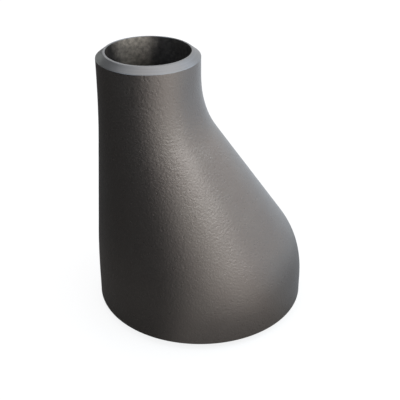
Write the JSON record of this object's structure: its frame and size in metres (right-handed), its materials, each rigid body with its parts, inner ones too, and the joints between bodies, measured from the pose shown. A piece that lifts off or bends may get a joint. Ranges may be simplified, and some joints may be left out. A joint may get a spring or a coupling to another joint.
{
  "type": "eccentric reducer",
  "caption": "Eccentric butt-weld pipe reducer in dark blasted steel: one side runs straight, the other slopes in an S-curve, and both ends are bevelled for welding.",
  "frame": {"origin": "centre of the large end's face, which the part stands on", "axes": "+Z along the pipe run, from the large end to the small end; +X towards the sloping side, so the straight side is at -X"},
  "size_m": [0.0484, 0.0484, 0.064],
  "materials": {
    "blasted_steel": "bare carbon steel, darkened and shot-blasted to a fine even grain, with fine-turned weld bevels"
  },
  "bodies": {
    "root": {"reducer_body": "blasted_steel"}
  },
  "joints": []
}
